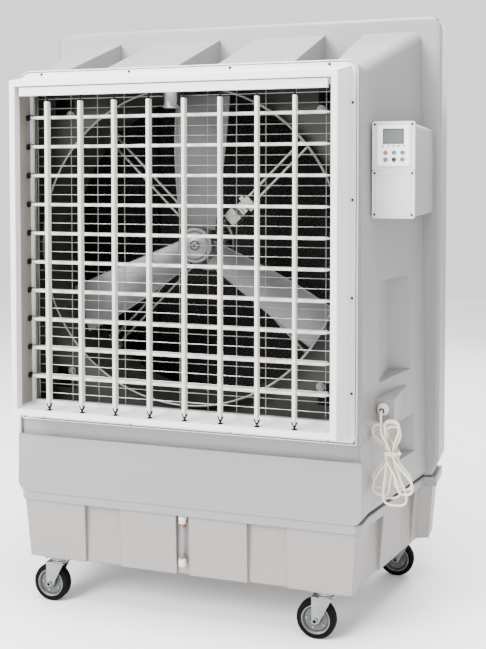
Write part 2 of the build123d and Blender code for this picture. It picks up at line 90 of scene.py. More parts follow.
def make_studio():
    """White world, four lamps and a pale floor."""
    world = bpy.data.worlds.new("studio")
    bpy.context.scene.world = world
    world.use_nodes = True
    world.node_tree.nodes["Background"].inputs[0].default_value = (1, 1, 1, 1)
    world.node_tree.nodes["Background"].inputs[1].default_value = WORLD_STRENGTH
    area_light("key", (-2.2, -4.6, 3.4), (0, -0.2, 1.0), (2.6, 2.6), 760)
    area_light("top", (0.2, -0.6, 4.6), (0, 0, 1.2), (3.0, 3.0), 620)
    area_light("fill", (4.2, -2.6, 2.0), (0.3, 0, 1.0), (2.0, 2.6), 20)
    area_light("back", (0.8, 4.6, 3.2), (0, 0, 1.0), (3.0, 2.6), 160)
    mesh = bpy.data.meshes.new("floor")
    corners = [(-FLOOR, -FLOOR, 0), (FLOOR, -FLOOR, 0), (FLOOR, FLOOR, 0), (-FLOOR, FLOOR, 0)]
    mesh.from_pydata(corners, [], [(0, 1, 2, 3)])
    floor = bpy.data.objects.new("floor", mesh)
    bpy.context.scene.collection.objects.link(floor)
    mesh.materials.append(plain("floor_paint", (0.93, 0.93, 0.93), 0.6))


# ---------- materials ----------
ROUGH_SPREAD = 0.06
DEEP_BLACK = 0.02


def new_material(name):
    """Material with its node tree and its shader."""
    material = bpy.data.materials.new(name)
    material.use_nodes = True
    tree = material.node_tree
    return material, tree, tree.nodes["Principled BSDF"]


def plain(name, colour, rough):
    """Material of one colour and one roughness."""
    material, _, shader = new_material(name)
    shader.inputs["Base Color"].default_value = (*colour, 1)
    shader.inputs["Roughness"].default_value = rough
    return material


def link(tree, source, output, target, socket):
    """Join a named output to a named input."""
    tree.links.new(source.outputs[output], target.inputs[socket])


def surface(name, colour, rough, metallic=0.0, grain=900, bump=0.05, patch=3.0, shade=0.06,
            edge=0.0, coat=0.0):
    """Soft patches in colour and roughness, a fine grain as bump, and edges that look rounded."""
    material, tree, shader = new_material(name)
    place = tree.nodes.new("ShaderNodeTexCoord")
    patches = tree.nodes.new("ShaderNodeTexNoise")
    patches.inputs["Scale"].default_value = patch
    patches.inputs["Detail"].default_value = 5
    link(tree, place, "Object", patches, "Vector")
    ramp = tree.nodes.new("ShaderNodeValToRGB")
    ramp.color_ramp.elements[0].position, ramp.color_ramp.elements[1].position = 0.3, 0.7
    ramp.color_ramp.elements[0].color = (*[c * (1 - shade) for c in colour], 1)
    ramp.color_ramp.elements[1].color = (*[min(1, c * (1 + shade * 0.4)) for c in colour], 1)
    link(tree, patches, "Fac", ramp, "Fac")
    link(tree, ramp, "Color", shader, "Base Color")
    fine = tree.nodes.new("ShaderNodeTexNoise")
    fine.inputs["Scale"].default_value = grain
    fine.inputs["Detail"].default_value = 2
    link(tree, place, "Object", fine, "Vector")
    spread = tree.nodes.new("ShaderNodeMapRange")
    spread.inputs["To Min"].default_value = max(0.02, rough - ROUGH_SPREAD)
    spread.inputs["To Max"].default_value = min(1, rough + ROUGH_SPREAD)
    link(tree, patches, "Fac", spread, "Value")
    link(tree, spread, "Result", shader, "Roughness")
    relief = tree.nodes.new("ShaderNodeBump")
    relief.inputs["Strength"].default_value = bump
    relief.inputs["Distance"].default_value = 0.001
    link(tree, fine, "Fac", relief, "Height")
    if edge:
        rounding = tree.nodes.new("ShaderNodeBevel")
        rounding.samples = 4
        rounding.inputs["Radius"].default_value = edge
        link(tree, rounding, "Normal", relief, "Normal")
    link(tree, relief, "Normal", shader, "Normal")
    shader.inputs["Metallic"].default_value = metallic
    shader.inputs["Coat Weight"].default_value = coat
    shader.inputs["Specular IOR Level"].default_value = 0.1 if max(colour) < DEEP_BLACK else 0.5
    return material


def pad_material():
    """Dark cellulose with crossing slanted flutes."""
    material, tree, shader = new_material("pad_cellulose")
    place = tree.nodes.new("ShaderNodeTexCoord")
    heights = []
    for tilt in (45, -30):
        mapping = tree.nodes.new("ShaderNodeMapping")
        mapping.inputs["Rotation"].default_value = (0, math.radians(tilt), 0)
        link(tree, place, "Object", mapping, "Vector")
        wave = tree.nodes.new("ShaderNodeTexWave")
        wave.bands_direction = "Z"
        wave.inputs["Scale"].default_value = 22
        wave.inputs["Distortion"].default_value = 0.4
        link(tree, mapping, "Vector", wave, "Vector")
        heights.append(wave)
    blend = tree.nodes.new("ShaderNodeMath")
    blend.operation = "MULTIPLY"
    tree.links.new(heights[0].outputs["Fac"], blend.inputs[0])
    tree.links.new(heights[1].outputs["Fac"], blend.inputs[1])
    ramp = tree.nodes.new("ShaderNodeValToRGB")
    ramp.color_ramp.elements[0].color = (0.0010, 0.0009, 0.0008, 1)
    ramp.color_ramp.elements[1].color = (0.014, 0.010, 0.007, 1)
    link(tree, blend, "Value", ramp, "Fac")
    link(tree, ramp, "Color", shader, "Base Color")
    relief = tree.nodes.new("ShaderNodeBump")
    relief.inputs["Strength"].default_value = 0.9
    relief.inputs["Distance"].default_value = 0.006
    link(tree, blend, "Value", relief, "Height")
    link(tree, relief, "Normal", shader, "Normal")
    shader.inputs["Roughness"].default_value = 0.9
    return material


def glass(name, colour, alpha, rough=0.05):
    """Clear plastic: a see-through colour with a faint ripple."""
    material, tree, shader = new_material(name)
    noise = tree.nodes.new("ShaderNodeTexNoise")
    noise.inputs["Scale"].default_value = 60
    relief = tree.nodes.new("ShaderNodeBump")
    relief.inputs["Strength"].default_value = 0.03
    link(tree, noise, "Fac", relief, "Height")
    link(tree, relief, "Normal", shader, "Normal")
    shader.inputs["Base Color"].default_value = (*colour, 1)
    shader.inputs["Roughness"].default_value = rough
    shader.inputs["Alpha"].default_value = alpha
    return material


PAINT = {
    "body": surface("body_plastic", (0.205, 0.200, 0.198), 0.42,
                    grain=700, bump=0.10, patch=1.6, shade=0.05, edge=0.006),
    "tank": surface("tank_plastic", (0.215, 0.200, 0.192), 0.45,
                    grain=700, bump=0.10, patch=2.0, shade=0.06, edge=0.006),
    "collar": surface("collar_plastic", (0.66, 0.645, 0.645), 0.36,
                      grain=500, bump=0.05, patch=2.0, shade=0.04, edge=0.003),
    "louver": surface("louver_plastic", (0.56, 0.53, 0.49), 0.34,
                      grain=600, bump=0.05, patch=4.0, shade=0.05, edge=0.002),
    # black plastic of clips, bushes and the gland seal; also painted shade in the nut's bore and the
    # screw crosses
    "black": surface("clip_black_and_shade", (0.004, 0.004, 0.004), 0.6,
                     grain=900, bump=0.05, patch=20, shade=0.2),
    "wire": surface("guard_wire", (0.26, 0.26, 0.25), 0.32,
                    metallic=0.75, grain=1500, bump=0.05, patch=14, shade=0.2),
    "shroud": surface("shroud_paint", (0.030, 0.034, 0.028), 0.55,
                      metallic=0.2, grain=260, bump=0.1, patch=5, shade=0.35),
    "ring": surface("ring_lip", (0.22, 0.23, 0.21), 0.4,
                    metallic=0.6, grain=600, bump=0.05, patch=8, shade=0.2),
    "fan": surface("fan_cast", (0.17, 0.172, 0.175), 0.36,
                   metallic=0.55, grain=420, bump=0.12, patch=7, shade=0.22, edge=0.002),
    "motor": surface("motor_cast", (0.12, 0.123, 0.127), 0.45,
                     metallic=0.6, grain=420, bump=0.15, patch=10, shade=0.25),
    "strut": surface("strut_zinc", (0.26, 0.26, 0.245), 0.34,
                     metallic=0.7, grain=900, bump=0.08, patch=12, shade=0.2),
    "pump": surface("pump_black", (0.012, 0.012, 0.014), 0.5,
                    grain=600, bump=0.1, patch=6, shade=0.2),
    "cover": surface("cover_plastic", (0.60, 0.575, 0.60), 0.32,
                     grain=600, bump=0.05, patch=5, shade=0.04, edge=0.003),
    "membrane": surface("membrane_film", (0.88, 0.86, 0.89), 0.25,
                        grain=1400, bump=0.04, patch=9, shade=0.02, coat=0.3),
    "lcd": surface("lcd_glass", (0.10, 0.12, 0.105), 0.14,
                   grain=1800, bump=0.02, patch=30, shade=0.08, coat=0.8),
    # dark print, and also painted shade in the hub's grooves and the seam round the flange
    "dark": surface("dark_print_and_shade", (0.015, 0.017, 0.02), 0.35,
                    grain=900, bump=0.03, patch=30, shade=0.2),
    "orange": surface("button_orange", (0.40, 0.085, 0.02), 0.16,
                      grain=600, bump=0.03, patch=90, shade=0.25, coat=0.9),
    "blue": surface("button_blue", (0.035, 0.13, 0.26), 0.14,
                    grain=600, bump=0.03, patch=90, shade=0.3, coat=0.9),
    "button_black": surface("button_black", (0.015, 0.015, 0.017), 0.14,
                            grain=600, bump=0.03, patch=90, shade=0.3, coat=0.9),
    "white": surface("fitting_white", (0.55, 0.54, 0.52), 0.3,
                     grain=700, bump=0.04, patch=12, shade=0.05, edge=0.001),
    "red": surface("float_red", (0.26, 0.015, 0.012), 0.25,
                   grain=800, bump=0.05, patch=40, shade=0.2, coat=0.4),
    "zinc": surface("zinc_plate", (0.21, 0.215, 0.22), 0.28,
                    metallic=0.9, grain=900, bump=0.12, patch=30, shade=0.2, edge=0.001),
    "dish": surface("rim_dish", (0.085, 0.087, 0.09), 0.42,
                    metallic=0.7, grain=900, bump=0.12, patch=30, shade=0.2),
    "tyre": surface("tyre_rubber", (0.0015, 0.0015, 0.0015), 0.85,
                    grain=500, bump=0.25, patch=20, shade=0.4),
    "screw": surface("screw_dark", (0.03, 0.03, 0.03), 0.35,
                     metallic=0.8, grain=900, bump=0.1, patch=60, shade=0.3),
    "can": surface("can_bright", (0.30, 0.31, 0.32), 0.20,
                   metallic=0.95, grain=700, bump=0.05, patch=12, shade=0.1),
    "cord": surface("cord_jacket", (0.58, 0.54, 0.42), 0.42,
                    grain=900, bump=0.08, patch=25, shade=0.08),
    # painted shade: dark olive-grey for the shadowed side walls of the outlet mouth
    "shade_plates": surface("mouth_painted_shade", (0.19, 0.185, 0.16), 0.5,
                     grain=600, bump=0.08, patch=6, shade=0.15),
    "pad": pad_material(),
    "glass": glass("gauge_clear", (0.22, 0.24, 0.24), alpha=0.22),
}
NODE_PAINT = {
    "tank": "tank", "casing": "body", "rear_frame": "body", "cooling_pad": "pad",
    "rear_grille": "body", "outlet_collar": "collar", "louver_strip": "collar",
    "wire_guard": "wire", "fan_shroud": "shroud", "fan_impeller": "fan", "motor": "motor",
    "motor_struts": "strut", "pump_and_riser": "pump", "water_inlet": "white",
    "control_box_body": "body", "control_panel_cover": "cover", "control_lower_cover": "cover",
    "control_membrane": "membrane", "lcd_window": "lcd", "gauge_tube": "glass",
    "gauge_fittings": "white", "gauge_float": "red", "swing_motor": "can", "caster_plates": "zinc",
    "screws": "screw", "cord_gland": "white", "power_lead": "cord", "cord_hank": "cord",
}
GROUP_PAINT = {"vertical_louver": "louver", "horizontal_louver": "louver", "caster_fork": "zinc",
               "caster_wheel": "tyre", "button": "blue"}


def paint_nodes():
    """Give every CAD node its material, for those that no piece replaces."""
    for node, piece in NODES.items():
        key = NODE_PAINT.get(node)
        if key is None:
            key = next(paint for start, paint in GROUP_PAINT.items() if node.startswith(start))
        piece.data.materials.clear()
        piece.data.materials.append(PAINT[key])


# ---------- mesh helpers ----------
def piece(name, verts, faces, paint, body, smooth, replaces):
    """Mesh object that rides on a body and stands for the CAD nodes it replaces."""
    mesh = bpy.data.meshes.new(name)
    mesh.from_pydata([tuple(v) for v in verts], [], faces)
    mesh.validate()
    mesh.materials.append(PAINT[paint])
    made = bpy.data.objects.new(name, mesh)
    bpy.context.scene.collection.objects.link(made)
    mesh.shade_smooth()
    mesh.set_sharp_from_angle(angle=math.radians(smooth))
    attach(made, body)
    if replaces:
        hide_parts(*replaces)
    return made


class Shape:
    """Vertices and faces gathered from several simple forms, made into one piece."""

    def __init__(self):
        self.verts, self.faces = [], []

    def add(self, verts, faces, place=None):
        start = len(self.verts)
        place = place or Matrix.Identity(4)
        self.verts += [place @ Vector(v) for v in verts]
        self.faces += [tuple(start + i for i in face) for face in faces]

    def rings(self, rings, place=None, capped=True, closed=False):
        """Skin over rings of equal length; each ring is a list of points."""
        count = len(rings[0])
        verts = [p for ring in rings for p in ring]
        faces = []
        pairs = list(zip(range(len(rings)), range(1, len(rings))))
        if closed:
            pairs.append((len(rings) - 1, 0))
        for a, b in pairs:
            for i in range(count):
                j = (i + 1) % count
                faces.append((a * count + i, a * count + j, b * count + j, b * count + i))
        if capped and not closed:
            faces.append(tuple(reversed(range(count))))
            faces.append(tuple((len(rings) - 1) * count + i for i in range(count)))
        self.add(verts, faces, place)

    def lathe(self, profile, place=None, steps=32):
        """Turn (radius, height) points about Z; both ends are capped."""
        rings = []
        for radius, height in profile:
            ring = []
            for i in range(steps):
                angle = 2 * math.pi * i / steps
                ring.append((radius * math.cos(angle), radius * math.sin(angle), height))
            rings.append(ring)
        self.rings(rings, place)

    def tube(self, profile, place=None, steps=32):
        """Turn a closed (radius, height) outline about Z into an open ring."""
        rings = []
        for i in range(steps):
            angle = 2 * math.pi * i / steps
            across, up = math.cos(angle), math.sin(angle)
            rings.append([(radius * across, radius * up, height) for radius, height in profile])
        self.rings(rings, place, closed=True)

    def rod(self, start, end, radius, steps=8):
        """Round bar with slightly chamfered ends."""
        start, end = Vector(start), Vector(end)
        turn = (end - start).to_track_quat("Z", "Y").to_matrix().to_4x4()
        length = (end - start).length
        soft = min(radius * 0.4, length * 0.2)
        profile = [(radius - soft, 0), (radius, soft), (radius, length - soft), (radius - soft, length)]
        self.lathe(profile, Matrix.Translation(start) @ turn, steps)

    def block(self, middle, size, place=None, soft=0.0015):
        """Box with chamfered long edges and slightly drawn-in ends."""
        half = Vector(size) / 2
        soft = min(soft, half.x * 0.45, half.y * 0.45, half.z * 0.45)

        def ring(z, inset):
            x, y = half.x - inset, half.y - inset
            return [(x, -y + soft, z), (x, y - soft, z), (x - soft, y, z), (-x + soft, y, z),
                    (-x, y - soft, z), (-x, -y + soft, z), (-x + soft, -y, z), (x - soft, -y, z)]

        rings = [ring(-half.z, soft), ring(-half.z + soft, 0),
                 ring(half.z - soft, 0), ring(half.z, soft)]
        self.rings(rings, (place or Matrix.Identity(4)) @ Matrix.Translation(middle))

    def make(self, name, paint, body="cabinet", smooth=30, replaces=()):
        """Turn what was gathered into one piece, with edges sharper than smooth degrees kept."""
        return piece(name, self.verts, self.faces, paint, body, smooth, replaces)


def rounded_outline(half_a, half_b, radius, per_corner=4):
    """Closed rounded rectangle as (a, b) pairs."""
    points = []
    for corner, (sa, sb) in enumerate(((1, 1), (-1, 1), (-1, -1), (1, -1))):
        for i in range(per_corner + 1):
            angle = math.pi / 2 * (corner + i / per_corner)
            points.append((sa * (half_a - radius) + radius * math.cos(angle),
                           sb * (half_b - radius) + radius * math.sin(angle)))
    return points


def towards(axis):
    """Matrix that turns Z to the given axis."""
    return Vector(axis).to_track_quat("Z", "Y").to_matrix().to_4x4()


# ---------- cord ----------
CORD_D = 0.0072
LEAD = [(0.618, -0.184, 0.708), (0.618, -0.206, 0.708), (0.622, -0.222, 0.692), (0.622, -0.222, 0.671)]
WAIST = Vector((0.652, 0, 0.592))
FRONT_LAYER = -0.2445
LAYER = 0.0077
# Each turn: top middle x, top z, top half width, bottom middle x, bottom z, bottom half width.
# The front layer comes first; it has a lower loop only, since the lead comes down into it.
TURNS = [
    (0, 0, 0, 0.700, 0.472, 0.023),
    (0.6580, 0.692, 0.022, 0.668, 0.434, 0.036),
    (0.6610, 0.672, 0.022, 0.692, 0.482, 0.026),
    (0.6540, 0.681, 0.022, 0.623, 0.458, 0.026),
    (0.6155, 0.670, 0.022, 0.617, 0.478, 0.0225),
    (0.6165, 0.657, 0.0230, 0.650, 0.446, 0.030),
]


def cord_points():
    """Lead from the gland to the tie, then each loop of the hank in its own layer."""
    points = list(LEAD)
    points += [(0.6235, -0.233, 0.654), (0.632, FRONT_LAYER, 0.640),
               (0.643, FRONT_LAYER, 0.622), (0.651, FRONT_LAYER, 0.607)]
    for i, (top_x, top_z, top_half, low_x, low_z, low_half) in enumerate(TURNS):
        y = FRONT_LAYER + LAYER * i
        left, right = WAIST.x - 0.013 + 0.003 * i, WAIST.x + 0.005 + 0.003 * i
        if i:
            shoulder = top_z - 0.034
            rise = (WAIST.z + shoulder) / 2
            points += [(left, y, WAIST.z), (left * 0.7 + (top_x - top_half) * 0.3, y, rise),
                       (top_x - top_half, y, shoulder), (top_x - top_half * 0.95, y, top_z),
                       (top_x + top_half * 0.95, y, top_z), (top_x + top_half, y, shoulder),
                       (right * 0.7 + (top_x + top_half) * 0.3, y, rise)]
        hip = low_z + 0.040
        fall = (WAIST.z + hip) / 2
        points += [(right, y, WAIST.z), (right * 0.65 + (low_x + low_half) * 0.35, y, fall),
                   (low_x + low_half, y, hip), (low_x + low_half * 0.95, y, low_z),
                   (low_x - low_half * 0.95, y, low_z), (low_x - low_half, y, hip),
                   (left * 0.65 + (low_x - low_half) * 0.35, y, fall)]
        if i < len(TURNS) - 1:
            points.append((left + 0.001, y + LAYER * 0.5, WAIST.z - 0.018))
    return [Vector(p) for p in points]


def make_curve(name, points, diameter, paint):
    """Smooth round line through the neighbourhood of its points."""
    data = bpy.data.curves.new(name, "CURVE")
    data.dimensions = "3D"
    spline = data.splines.new("NURBS")
    spline.points.add(len(points) - 1)
    for target, p in zip(spline.points, points):
        target.co = (*p, 1)
    spline.order_u = 3
    spline.use_endpoint_u = True
    spline.resolution_u = 12
    data.bevel_depth = diameter / 2
    data.bevel_resolution = 5
    data.use_fill_caps = True
    data.materials.append(PAINT[paint])
    made = bpy.data.objects.new(name, data)
    bpy.context.scene.collection.objects.link(made)
    return made


def curve_length(made):
    """Length of the centre line, measured on a copy without thickness."""
    data = made.data.copy()
    data.bevel_depth = 0
    probe = bpy.data.objects.new("probe", data)
    bpy.context.scene.collection.objects.link(probe)
    mesh = bpy.data.meshes.new_from_object(probe)
    line = [v.co for v in mesh.vertices]
    total = sum((b - a).length for a, b in zip(line, line[1:]))
    bpy.data.objects.remove(probe)
    return total


def make_cord():
    """Mains cord with its tie, and the gland that it leaves the casing through."""
    points = cord_points()
    cord = make_curve("mains_cord", points, CORD_D, "cord")
    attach(cord, "cabinet")
    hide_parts("power_lead", "cord_hank")
    tie = Shape()
    outline = rounded_outline(0.0225, 0.0250, 0.011, 6)
    middle = Vector((WAIST.x + 0.0035, -0.2253, WAIST.z + 0.002))
    ring_in = [(a * 0.94, b * 0.94) for a, b in outline]
    for height in (0.0015, -0.0045):
        rings = []
        for dz, source in ((-0.0022, ring_in), (-0.0022, outline), (0.0022, outline),
                           (0.0022, ring_in)):
            rings.append([(a, b, dz + height) for a, b in source])
        tie.rings(rings, Matrix.Translation(middle), capped=False, closed=True)
    tie.block(middle + Vector((0.025, -0.012, 0)), (0.012, 0.009, 0.010), soft=0.003)
    tie_piece = tie.make("cord_tie", "white")
    length = curve_length(cord)
    gland = Shape()
    at = Matrix.Translation((LEAD[0][0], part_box("cord_gland")[1].y, LEAD[0][2])) @ towards((0, -1, 0))
    gland.lathe([(0.004, 0), (0.019, 0), (0.019, 0.005), (0.0175, 0.009), (0.014, 0.0118),
                 (0.0125, 0.012), (0.0125, 0.014), (0.011, 0.022), (0.0095, 0.024),
                 (0.008, 0.0238), (0.008, 0.018)], at, 40)
    gland.make("gland_body", "white", replaces=("cord_gland",))
    mouth = Shape()
    mouth.lathe([(0.0034, 0.016), (0.0079, 0.016), (0.0079, 0.0225), (0.0055, 0.0240),
                 (0.0036, 0.0236)], at, 32)
    mouth.make("gland_seal", "black")


# ---------- louvres and guard ----------
UPRIGHT_LOUVRES = 8
LEVEL_LOUVRES = 10
CLIP_LEAN = 0.42
UPRIGHT_WIRES = 11
UPRIGHT_PITCH = 0.094
LEVEL_WIRES = 32
LEVEL_PITCH = 0.031


def make_upright_louvres():
    """Thin upright slats with a black clip at the foot and a pin at the top."""
    for index in range(1, UPRIGHT_LOUVRES + 1):
        body = f"vertical_louver_{index}"
        low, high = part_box(body)
        x, y = (low.x + high.x) / 2, (low.y + high.y) / 2
        slat = Shape()
        base, top = low.z + 0.030, high.z - 0.027
        rings = []
        for z, a, b, r in ((base - 0.016, 0.0022, 0.004, 0.001), (base, 0.0044, 0.0105, 0.0012),
                           (base + 0.004, 0.0052, 0.0115, 0.0015),
                           (top - 0.0015, 0.0052, 0.0115, 0.0015),
                           (top, 0.0042, 0.0105, 0.0012)):
            rings.append([(x + p, y + q, z) for p, q in rounded_outline(a, b, r, 4)])
        slat.rings(rings)
        slat.make(f"upright_slat_{index}", "louver", body, replaces=(body,))
        clip = Shape()
        clip.lathe([(0.002, 0), (0.0085, 0), (0.009, 0.001), (0.006, 0.0028), (0.003, 0.0045),
                    (0.003, 0.012)], Matrix.Translation((x, y, low.z)), 24)
        for side in (-1, 1):
            lean = (Matrix.Translation((x + side * 0.0048, y, low.z + 0.015))
                    @ Matrix.Rotation(side * CLIP_LEAN, 4, "Y"))
            clip.block((0, 0, 0), (0.0034, 0.008, 0.017), lean, 0.001)
        clip.lathe([(0.002, 0), (0.0025, 0.001), (0.0025, 0.024), (0.002, 0.025)],
                   Matrix.Translation((x, y, top)), 16)
        clip.make(f"upright_clip_{index}", "black", body)


def make_level_louvres():
    """Level slats with a black bush and hook at each end."""
    for index in range(1, LEVEL_LOUVRES + 1):
        body = f"horizontal_louver_{index}"
        low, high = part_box(body)
        y, z = (low.y + high.y) / 2, (low.z + high.z) / 2
        end = high.x - 0.0272
        slat = Shape()
        rings = []
        for x, a, b, r in ((-end - 0.014, 0.004, 0.0013, 0.0006),
                           (-end + 0.001, 0.0125, 0.0034, 0.0014),
                           (-end + 0.006, 0.014, 0.0047, 0.0016), (end - 0.006, 0.014, 0.0047, 0.0016),
                           (end - 0.001, 0.0125, 0.0034, 0.0014), (end + 0.014, 0.004, 0.0013, 0.0006)):
            rings.append([(x, y + p, z + q) for p, q in rounded_outline(a, b, r, 4)])
        slat.rings(rings)
        slat.make(f"level_slat_{index}", "louver", body, replaces=(body,))
        clip = Shape()
        for side in (-1, 1):
            at = Matrix.Translation((side * high.x, y, z)) @ towards((-side, 0, 0))
            clip.lathe([(0.004, 0), (0.010, 0), (0.010, 0.003), (0.0085, 0.006), (0.0085, 0.008),
                        (0.006, 0.0105), (0.003, 0.011)], at, 24)
            hook = [(0.000, 0.008), (0.006, 0.0095), (0.012, 0.0085), (0.018, 0.006)]
            for (d0, h0), (d1, h1) in zip(hook, hook[1:]):
                start = (side * (high.x - 0.007 - d0), y - 0.002, z + h0)
                clip.rod(start, (side * (high.x - 0.007 - d1), y - 0.002, z + h1), 0.0016, 8)
        clip.make(f"level_bush_{index}", "black", body)


def make_wire_guard():
    """Upright and level wires on a frame of thicker ones."""
    low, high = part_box("wire_guard")
    y = (low.y + high.y) / 2
    mid = (low.z + high.z) / 2
    wires = Shape()
    for i in range(UPRIGHT_WIRES):
        x = (i - UPRIGHT_WIRES // 2) * UPRIGHT_PITCH
        wires.rod((x, y + 0.0018, low.z + 0.006), (x, y + 0.0018, high.z - 0.006), 0.0016)
    for i in range(LEVEL_WIRES):
        z = mid + (i - (LEVEL_WIRES - 1) / 2) * LEVEL_PITCH
        wires.rod((low.x + 0.004, y - 0.0012, z), (high.x - 0.004, y - 0.0012, z), 0.0014)
    inset = 0.0045
    for x in (low.x + inset, high.x - inset):
        wires.rod((x, y, low.z + 0.002), (x, y, high.z - 0.002), 0.003, 12)
        wires.rod((x * 0.984, y, low.z + 0.004), (x * 0.984, y, high.z - 0.004), 0.0018, 12)
    for z in (low.z + inset, high.z - inset):
        wires.rod((low.x + 0.002, y, z), (high.x - 0.002, y, z), 0.003, 12)
    wires.make("guard_wires", "wire", replaces=("wire_guard",))


# ---------- fan and motor ----------
BLADES = 3
BLADE_ROOT = 0.048
BLADE_TIP = 0.489
BLADE_STEPS = 12
BLADE_RING = 24
COOLING_FINS = 36
RING_RADIUS = 0.5095
BULKHEAD_BOLT = 0.430


def make_fan():
    """Three twisted blades on a round hub with the nut; the dark disc in the nut's bore and the dark
    rings in the hub's grooves are painted shade.
    """
    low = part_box("fan_impeller")[0]
    axis_z = centre("motor").z
    hub_y = low.y + 0.006
    blades = Shape()
    for turn in range(BLADES):
        place = (Matrix.Translation((0, hub_y + 0.034, axis_z))
                 @ Matrix.Rotation(turn * 2 * math.pi / BLADES, 4, "Y"))
        rings = []
        for step in range(BLADE_STEPS + 1):
            share = step / BLADE_STEPS
            radius = BLADE_ROOT + (BLADE_TIP - BLADE_ROOT) * share
            chord = 0.118 + 0.058 * math.sin(min(1, share * 1.15) * math.pi / 2)
            pitch = math.radians(36 - 18 * share)
            thick = 0.0055 - 0.0025 * share
            if step == BLADE_STEPS:
                thick *= 0.5
            sweep = 0.018 * share * share
            ring = []
            for k in range(BLADE_RING):
                angle = 2 * math.pi * k / BLADE_RING
                along = math.cos(angle) * chord / 2
                camber = 0.012 * (1 - (2 * along / chord) ** 2)
                px, py = along + sweep, math.sin(angle) * thick * 0.5 + camber
                ring.append((px * math.cos(pitch) - py * math.sin(pitch),
                             px * math.sin(pitch) + py * math.cos(pitch), radius))
            rings.append(ring)
        blades.rings(rings, place)
    blades.make("fan_blades", "fan", "fan_impeller", smooth=50, replaces=("fan_impeller",))
    hub = Shape()
    at = Matrix.Translation((0, hub_y, axis_z)) @ towards((0, 1, 0))
    hub.lathe([(0.006, 0.000), (0.018, 0.000), (0.020, 0.001), (0.043, 0.001), (0.0445, 0.0035),
               (0.047, 0.0035), (0.0485, 0.001), (0.056, 0.001), (0.059, 0.004), (0.059, 0.058),
               (0.056, 0.062), (0.012, 0.062)], at, 64)
    for i in range(6):
        angle = math.pi / 3 * i
        spot = (0.034 * math.cos(angle), hub_y - 0.0005, axis_z + 0.034 * math.sin(angle))
        hub.lathe([(0.001, 0), (0.003, 0), (0.0033, 0.001), (0.0033, 0.003)],
                  Matrix.Translation(spot) @ towards((0, 1, 0)), 12)
    hub.make("fan_hub", "fan", "fan_impeller")
    nut = Shape()
    at = Matrix.Translation((0, low.y, axis_z)) @ towards((0, 1, 0))
    nut.lathe([(0.0055, 0.001), (0.011, 0.001), (0.0125, 0.002), (0.0125, 0.0065),
               (0.005, 0.0065)], at, 6)
    nut.lathe([(0.005, 0.0045), (0.0165, 0.0045), (0.0165, 0.0068), (0.005, 0.0068)], at, 32)
    nut.make("fan_nut", "zinc", "fan_impeller")
    # dark rings laid in the hub's grooves: painted shade
    groove_shade = Shape()
    groove_shade.tube([(0.0446, 0.0030), (0.0446, 0.0008), (0.0468, 0.0008), (0.0468, 0.0030)], at, 64)
    groove_shade.tube([(0.0130, 0.0062), (0.0130, 0.0040), (0.0172, 0.0040), (0.0172, 0.0062)], at, 40)
    groove_shade.make("hub_groove_shade", "dark", "fan_impeller")
    # black disc on the nut's face: painted shade in its bore
    bore_shade = Shape()
    bore_shade.lathe([(0.001, 0.0005), (0.0045, 0.0005), (0.0052, 0.0012), (0.0052, 0.005)], at, 24)
    bore_shade.make("fan_nut_bore_shade", "black", "fan_impeller")


def make_motor():
    """Finned motor with a terminal box, and the small bracket on its strut."""
    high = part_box("motor")[1]
    mid = centre("motor")
    front = high.y - 0.150
    body = Shape()
    at = Matrix.Translation((0, front, mid.z)) @ towards((0, 1, 0))
    body.lathe([(0.012, 0), (0.060, 0), (0.066, 0.006), (0.074, 0.012), (0.074, 0.132),
                (0.066, 0.146), (0.02, 0.150)], at, 48)
    body.lathe([(0.004, -0.0195), (0.0115, -0.0195), (0.012, -0.018), (0.012, 0.004)], at, 24)
    for i in range(COOLING_FINS):
        turn = Matrix.Rotation(2 * math.pi * i / COOLING_FINS, 4, "Y")
        fin = Matrix.Translation((0, front + 0.071, mid.z)) @ turn
        body.block((0, 0, 0.0775), (0.0028, 0.112, 0.011), fin, 0.0008)
    for i in range(4):
        angle = math.pi / 4 + math.pi / 2 * i
        spot = (0.052 * math.cos(angle), front, mid.z + 0.052 * math.sin(angle))
        body.lathe([(0.001, -0.005), (0.005, -0.005), (0.0055, -0.004), (0.0055, 0.002)],
                   Matrix.Translation(spot) @ towards((0, 1, 0)), 6)
    body.make("motor_body", "motor", replaces=("motor",))
    box = Shape()
    place = Matrix.Translation((0, front + 0.060, mid.z)) @ Matrix.Rotation(math.radians(45), 4, "Y")
    box.block((0, 0, 0.128), (0.060, 0.050, 0.050), place, 0.005)
    box.block((0, -0.027, 0.128), (0.050, 0.006, 0.042), place, 0.003)
    box.block((0, 0, 0.160), (0.046, 0.030, 0.014), place, 0.003)
    bracket_y, bracket_r = -0.046, 0.190
    corner = Matrix.Translation((0, bracket_y, mid.z)) @ Matrix.Rotation(math.radians(45), 4, "Y")
    for height in (0.0, 0.020):
        box.block((0, 0, bracket_r - height), (0.062 - height, 0.003, 0.016), corner, 0.001)
    triangle = [(-0.026, 0.0), (0.026, 0.0), (0.0, 0.030)]
    place = Matrix.Translation((bracket_r * 0.72, bracket_y - 0.003, mid.z + bracket_r * 0.70))
    box.rings([[(x, y, z) for x, z in triangle] for y in (0.0, 0.003)], place)
    box.make("terminal_box", "strut")


